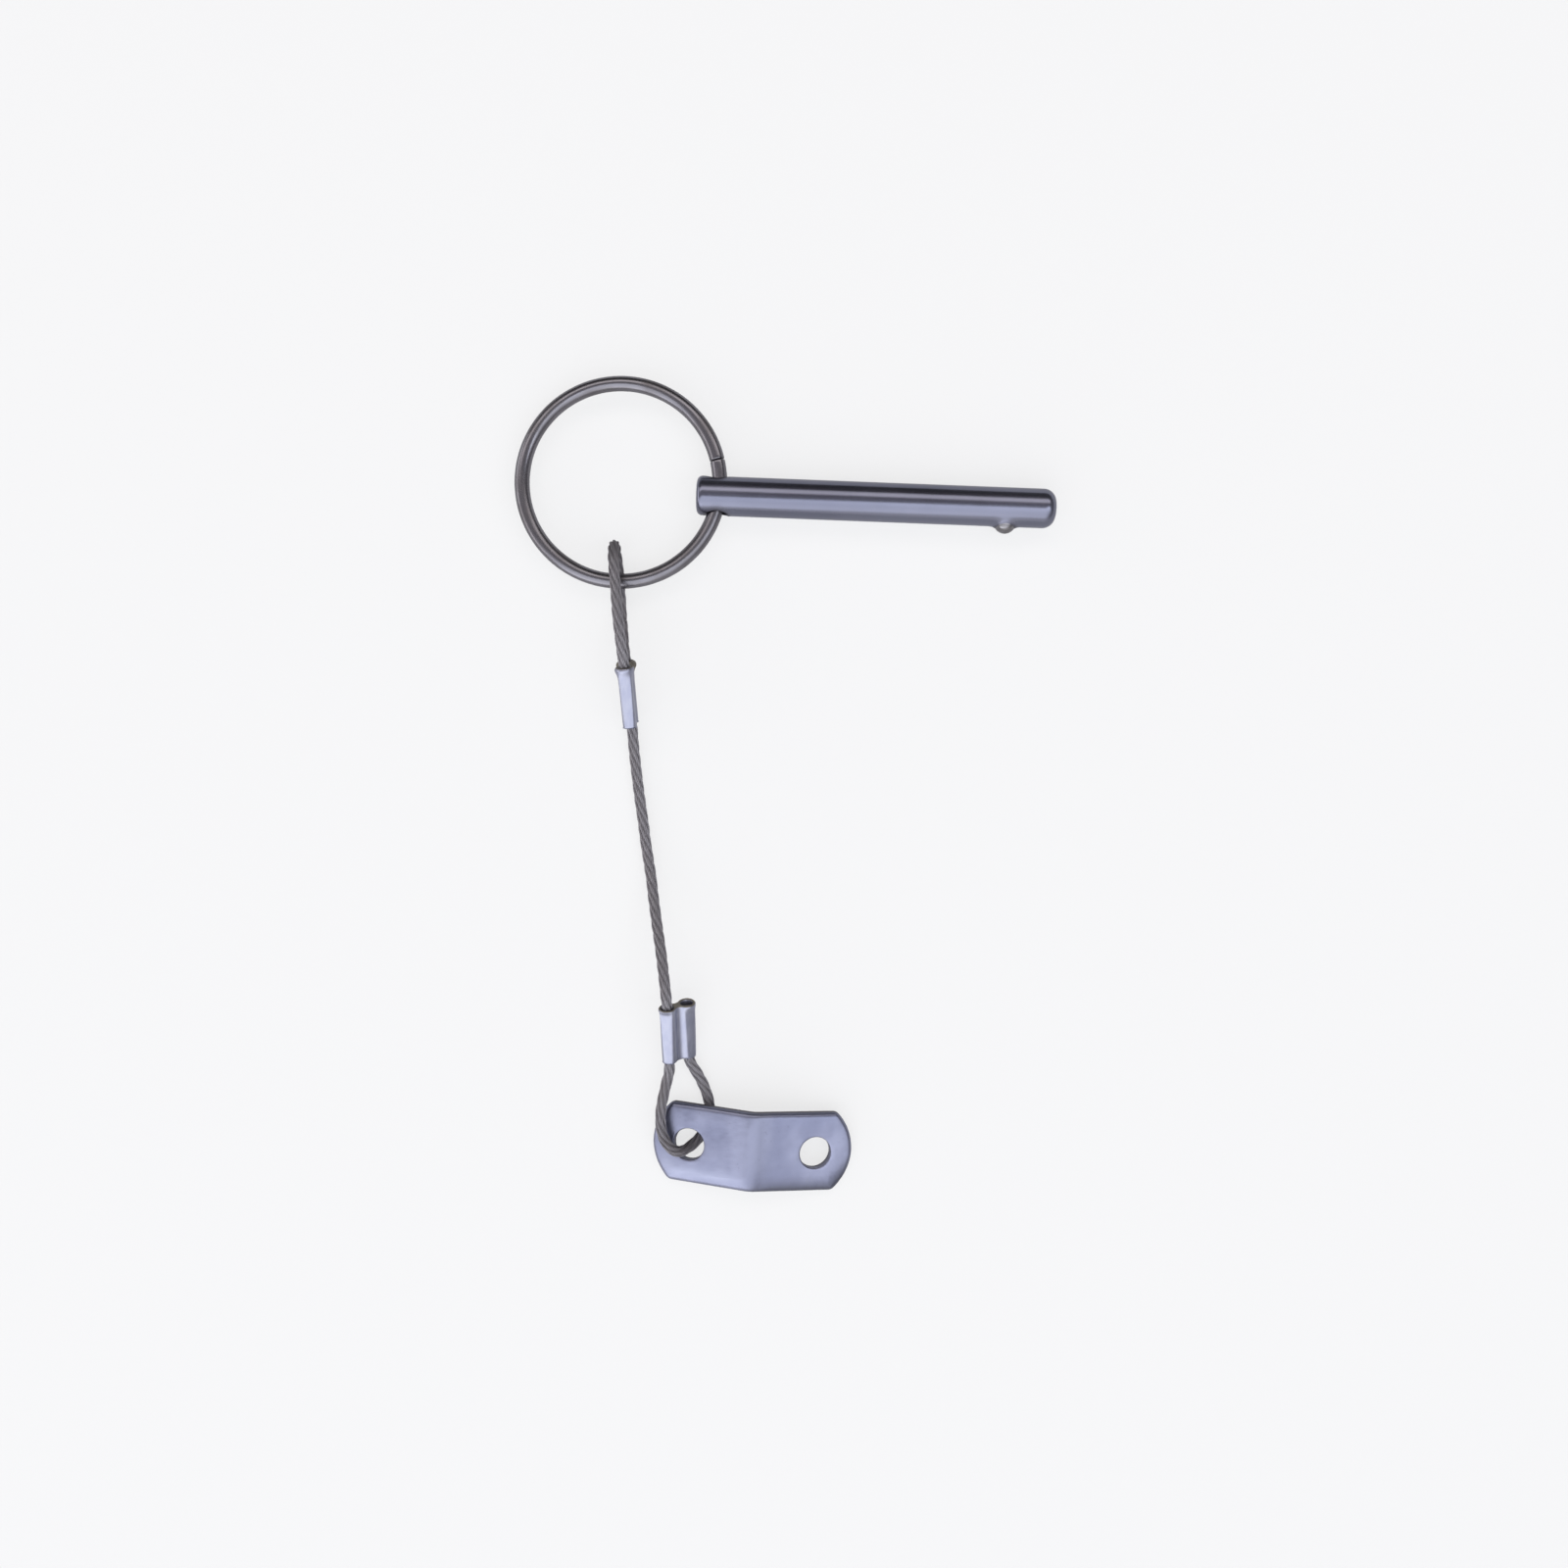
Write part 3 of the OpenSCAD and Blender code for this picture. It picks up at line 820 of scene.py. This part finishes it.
def pull_ring(material):
    """Drawn wire bent to a circle, whose two ends meet at a seam."""
    gap = math.degrees(RING_SEAM_GAP / RING_R)
    bm = bmesh.new()
    upright = Matrix.Translation((RING_R, 0, 0)) @ Matrix.Rotation(math.pi / 2, 4, "X")
    bmesh.ops.create_circle(bm, segments=28, radius=RING_WIRE_R, matrix=upright)
    bmesh.ops.spin(
        bm, geom=bm.verts[:] + bm.edges[:], cent=(0, 0, 0), axis=ALONG_Z,
        angle=math.radians(360 - gap), steps=220)
    caps = bmesh.ops.holes_fill(bm, edges=open_edges(bm))["faces"]
    rims = list({e for face in caps for e in face.edges})
    ease(bm, rims, 0.22, 3)
    bmesh.ops.recalc_face_normals(bm, faces=bm.faces[:])
    seam = Matrix.Rotation(math.radians(RING_SEAM_AT + gap / 2), 4, "Z")
    bm.transform(Matrix.Translation(RING_CENTRE) @ seam)
    return make_piece("pull_ring_wire", bm, material, "ring", "ring_steel", "pull_ring")


def pin_shank(material):
    """A turned bar with rounded ends, drilled for the ring, and staked round the ball's pocket."""
    lip_rise, lip_r, lip_fall, lip_reach = 0.45, 2.1, 0.5, 4
    bm = bmesh.new()
    start = chain(bm, (-PIN_HALF, 0, 0), (-PIN_HALF, PIN_R - RING_END_ROUND, 0))[-1]
    round_centre = (RING_END_ROUND - PIN_HALF, PIN_R - RING_END_ROUND, 0)
    turn = arc(bm, start, round_centre, ALONG_Z, -90, 6)
    shoulder = bm.verts.new((PIN_HALF - TIP_ROUND, PIN_R, 0))
    wall = bm.edges.new((turn, shoulder))
    tip_centre = (PIN_HALF - TIP_ROUND, PIN_R - TIP_ROUND, 0)
    end = arc(bm, shoulder, tip_centre, ALONG_Z, -90, 10)
    bm.edges.new((end, bm.verts.new((PIN_HALF, 0, 0))))
    bmesh.ops.subdivide_edges(bm, edges=[wall], cuts=240)
    lathe(bm, (0, 0, 0), ALONG_X, 112)
    for vert in bm.verts:
        out = math.hypot(vert.co.x - BALL_CENTRE.x, vert.co.z)
        if vert.co.y < 0 and out < lip_reach:
            fall = math.exp(-max(0, out - lip_r) / lip_fall)
            lift = lip_rise * fall * (1 - (out / lip_reach) ** 4)
            vert.co += Vector((0, vert.co.y, vert.co.z)).normalized() * lift
    bm = cut_out(bm, cross_drill())
    bm = cut_out(bm, pocket_drill())
    mend(bm)
    return make_piece("shank_bar", bm, material, "pin", "pin_steel", "pin_shank")


def cross_drill():
    """What the drill and the countersinks take out for the ring."""
    sink, deep, beyond = 0.9, 3.6, 5
    wide_r = CROSS_HOLE_R + sink
    tool = bmesh.new()
    chain(
        tool, (0, -beyond, 0), (wide_r, -beyond, 0), (wide_r, -deep - sink, 0),
        (CROSS_HOLE_R, -deep, 0), (CROSS_HOLE_R, deep, 0), (wide_r, deep + sink, 0),
        (wide_r, beyond, 0), (0, beyond, 0))
    lathe(tool, (0, 0, 0), ALONG_Y, 72)
    tool.transform(Matrix.Translation((CROSS_HOLE_X, 0, 0)))
    return tool


def pocket_drill():
    """What the drill takes out for the ball and its spring, with the lip that keeps the ball."""
    tool = bmesh.new()
    profile = (0, POCKET_FLOOR, 0), (POCKET_R, POCKET_FLOOR, 0), (POCKET_R, BALL_CENTRE.y, 0)
    waist = chain(tool, *profile)[-1]
    arc(tool, waist, (0, BALL_CENTRE.y, 0), ALONG_Z, -90, 20)
    lathe(tool, (0, 0, 0), ALONG_Y, 72)
    tool.transform(Matrix.Translation((BALL_CENTRE.x, 0, 0)))
    return tool


def detent_ball(material):
    """A plain ball, spun from half a circle."""
    bm = bmesh.new()
    pole = bm.verts.new((0, -BALL_R, 0))
    arc(bm, pole, (0, 0, 0), ALONG_Z, 180, 32)
    lathe(bm, (0, 0, 0), ALONG_Y, 64)
    bm.transform(Matrix.Translation(BALL_CENTRE))
    return make_piece("ball", bm, material, "ball", "ball_steel", "detent_ball")


def detent_spring(material):
    """A wound spring between the ball and the pocket's floor."""
    wire_r, coil_r, turns, first, last = 0.175, 1.645, 3, -1.24, 2.28
    steps = turns * 28
    bm = bmesh.new()
    start = Matrix.Translation((coil_r, first, 0))
    bmesh.ops.create_circle(bm, segments=10, radius=wire_r, matrix=start)
    bmesh.ops.spin(
        bm, geom=bm.verts[:] + bm.edges[:], cent=(0, 0, 0), axis=ALONG_Y,
        angle=math.tau * turns, steps=steps, dvec=(0, (last - first) / steps, 0))
    bmesh.ops.holes_fill(bm, edges=open_edges(bm))
    bmesh.ops.recalc_face_normals(bm, faces=bm.faces[:])
    bm.transform(Matrix.Translation((BALL_CENTRE.x, 0, 0)))
    coil = make_piece("spring_coil", bm, material, "pin", "spring_steel", "detent_spring")
    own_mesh(coil)
    return coil


# Anchor tab

def bent(point):
    """Where a point of the flat blank goes when the strip is bent across its middle."""
    middle_r = TAB_BEND_R + TAB_T / 2
    turn = max(-TAB_BEND / 2, min(TAB_BEND / 2, point.x / middle_r))
    beyond = point.x - turn * middle_r
    over = TAB_BEND_R + point.z
    return Vector((
        over * math.sin(turn) + beyond * math.cos(turn), point.y,
        over * math.cos(turn) - beyond * math.sin(turn)))


def tab_blank():
    """The flat strip: its outline with rounded corners, its two holes, and a narrow border."""
    corner_r, border = 2, 1.15
    half_w, middle = TAB_W / 2, TAB_L / 2 - TAB_END_R
    side = half_w - corner_r
    reach = math.sqrt((TAB_END_R - corner_r) ** 2 - side ** 2)
    swing = math.degrees(math.atan2(side, reach))
    bm = bmesh.new()
    starts = [bm.verts.new((turn * (middle + reach), -turn * half_w, 0)) for turn in (1, -1)]
    for start, after, turn in zip(starts, reversed(starts), (1, -1)):
        near, far = ((turn * (middle + reach), way * turn * side, 0) for way in (-1, 1))
        knot = arc(bm, start, near, ALONG_Z, 90 - swing, 7)
        knot = arc(bm, knot, (turn * middle, 0, 0), ALONG_Z, 2 * swing, 26)
        knot = arc(bm, knot, far, ALONG_Z, 90 - swing, 7)
        bm.edges.new((knot, after))
    for x in (-TAB_HOLE_X, TAB_HOLE_X):
        bmesh.ops.create_circle(
            bm, segments=56, radius=TAB_HOLE_R, matrix=Matrix.Translation((x, 0, 0)))
    bmesh.ops.triangle_fill(bm, edges=bm.edges[:], use_beauty=True, normal=ALONG_Z)
    bmesh.ops.inset_region(
        bm, faces=bm.faces[:], thickness=border, use_boundary=True, use_even_offset=True)
    return bm


def tumble(bm):
    """Rounds the edges of the tab: more on its top than underneath, and little at its holes."""
    top_round, under_round, hole_round = 0.9, 0.3, 0.3
    steep, hole_reach = math.radians(60), TAB_HOLE_R + 0.2
    for z, width in ((TAB_T, top_round), (0, under_round)):
        rims = [
            e for e in bm.edges
            if all(abs(v.co.z - z) < 1e-4 for v in e.verts) and e.calc_face_angle(0) > steep]
        holes = [
            e for e in rims
            if all(math.hypot(abs(v.co.x) - TAB_HOLE_X, v.co.y) < hole_reach for v in e.verts)]
        ease(bm, [e for e in rims if e not in holes], width, 5)
        ease(bm, [e for e in holes if e.is_valid], hole_round, 3)


def roll_border(bm):
    """Rolls the tab's border down, most along its near side, and marks where the painted shade and
    the painted highlight go.
    """
    tarnish, rubbed = (bm.verts.layers.float.new(name) for name in ("tarnish", "rubbed"))
    for vert in bm.verts:
        x, y, z = vert.co
        past_arc = max(0, abs(x) - TAB_L / 2 + TAB_END_R)
        inset = min(TAB_W / 2 - abs(y), TAB_END_R - math.hypot(past_arc, y))
        near_side = ramp(y, -0.6, -6.6)
        left, right = ramp(x, -0.5, -5.5), ramp(x, -0.6, 5.4)
        # Painted shade: a dark band along the crease and along the near border of the right flap.
        bend_shade = 0.35 * hump(x, 1, 2.4)
        border_shade = right * near_side * 1.5 * max(0, 1 - inset / 3)
        vert[tarnish] = bend_shade + border_shade
        # Painted highlight: a light band just inside the near border of the left flap.
        vert[rubbed] = left * near_side * hump(inset, 2.6, 1.2)
        drop, width = 0.2 + 0.55 * near_side, 3.2 + 0.8 * near_side
        vert.co.z -= drop * max(0, 1 - inset / width) ** 2.3 * z / TAB_T


def anchor_tab(material):
    """A strip cut to shape, its holes punched, its edges tumbled, and bent across the middle."""
    bm = tab_blank()
    raised = bmesh.ops.extrude_face_region(bm, geom=bm.faces[:])["geom"]
    bmesh.ops.translate(bm, verts=only_verts(raised), vec=ALONG_Z * TAB_T)
    bmesh.ops.recalc_face_normals(bm, faces=bm.faces[:])
    tumble(bm)
    rim = bm.verts.layers.float.new("rim")
    for vert in bm.verts:
        vert[rim] = ramp(vert.co.z, 1.6, 1.1) if vert.co.z > 1e-3 else 0
    pitch = 1.1
    cut_at(bm, [i * pitch + 0.57 for i in range(-20, 20)], ALONG_X)
    cut_at(bm, [i * pitch + 0.53 for i in range(-8, 8)], ALONG_Y)
    roll_border(bm)
    bend_reach = TAB_BEND * (TAB_BEND_R + TAB_T / 2) / 2
    cut_at(bm, [bend_reach * i / 5 for i in range(-5, 6)], ALONG_X)
    for vert in bm.verts:
        vert.co = bent(vert.co)
    lie = Euler((TAB_TILT, 0, TAB_TURN)).to_matrix().to_4x4()
    hole_top = bent(Vector((-TAB_HOLE_X, 0, TAB_T)))
    bm.transform(Matrix.Translation(TAB_EYE) @ lie @ Matrix.Translation(-hole_top))
    tab = make_piece("tab_strip", bm, material, "tab", "tab_steel", "anchor_tab")
    tab.modifiers.new("flat_faces", "WEIGHTED_NORMAL").keep_sharp = True
    return tab


# The whole scene

set_camera()
rope, rope_line = wire_rope(rope_steel())
aluminium = sleeve_aluminium()
upper_barrels, lower_barrels = sleeve_axes()
upper_sleeve = crimp_sleeve("upper_sleeve", upper_barrels, UPPER_CRIMP, aluminium, "lanyard")
lower_sleeve = crimp_sleeve("lower_sleeve", lower_barrels, LOWER_CRIMP, aluminium, "lanyard_end")
tab = anchor_tab(tab_steel())
upper_barrels["dead_mouth"] * MM
pull_ring(ring_steel())
pin_shank(shank_steel())
detent_ball(ball_steel())
detent_spring(spring_steel())
set_floor()
set_world()
add_softbox(
    "window", lean_x=3, lean_y=-41, wide_x=116, wide_y=60, radiance=1.12,
    colour=(0.87, 0.92, 1.0), roll=20, fade=0.35, warp=1.2)
add_softbox(
    "strip", lean_x=0, lean_y=34, wide_x=92, wide_y=22, radiance=1.3,
    colour=(1.0, 0.95, 0.93), roll=8)
add_softbox(
    "left_fill", lean_x=-74, lean_y=0, wide_x=22, wide_y=60, radiance=1.3,
    colour=(1.0, 0.98, 0.97))
bpy.context.scene.view_settings.view_transform = "Standard"
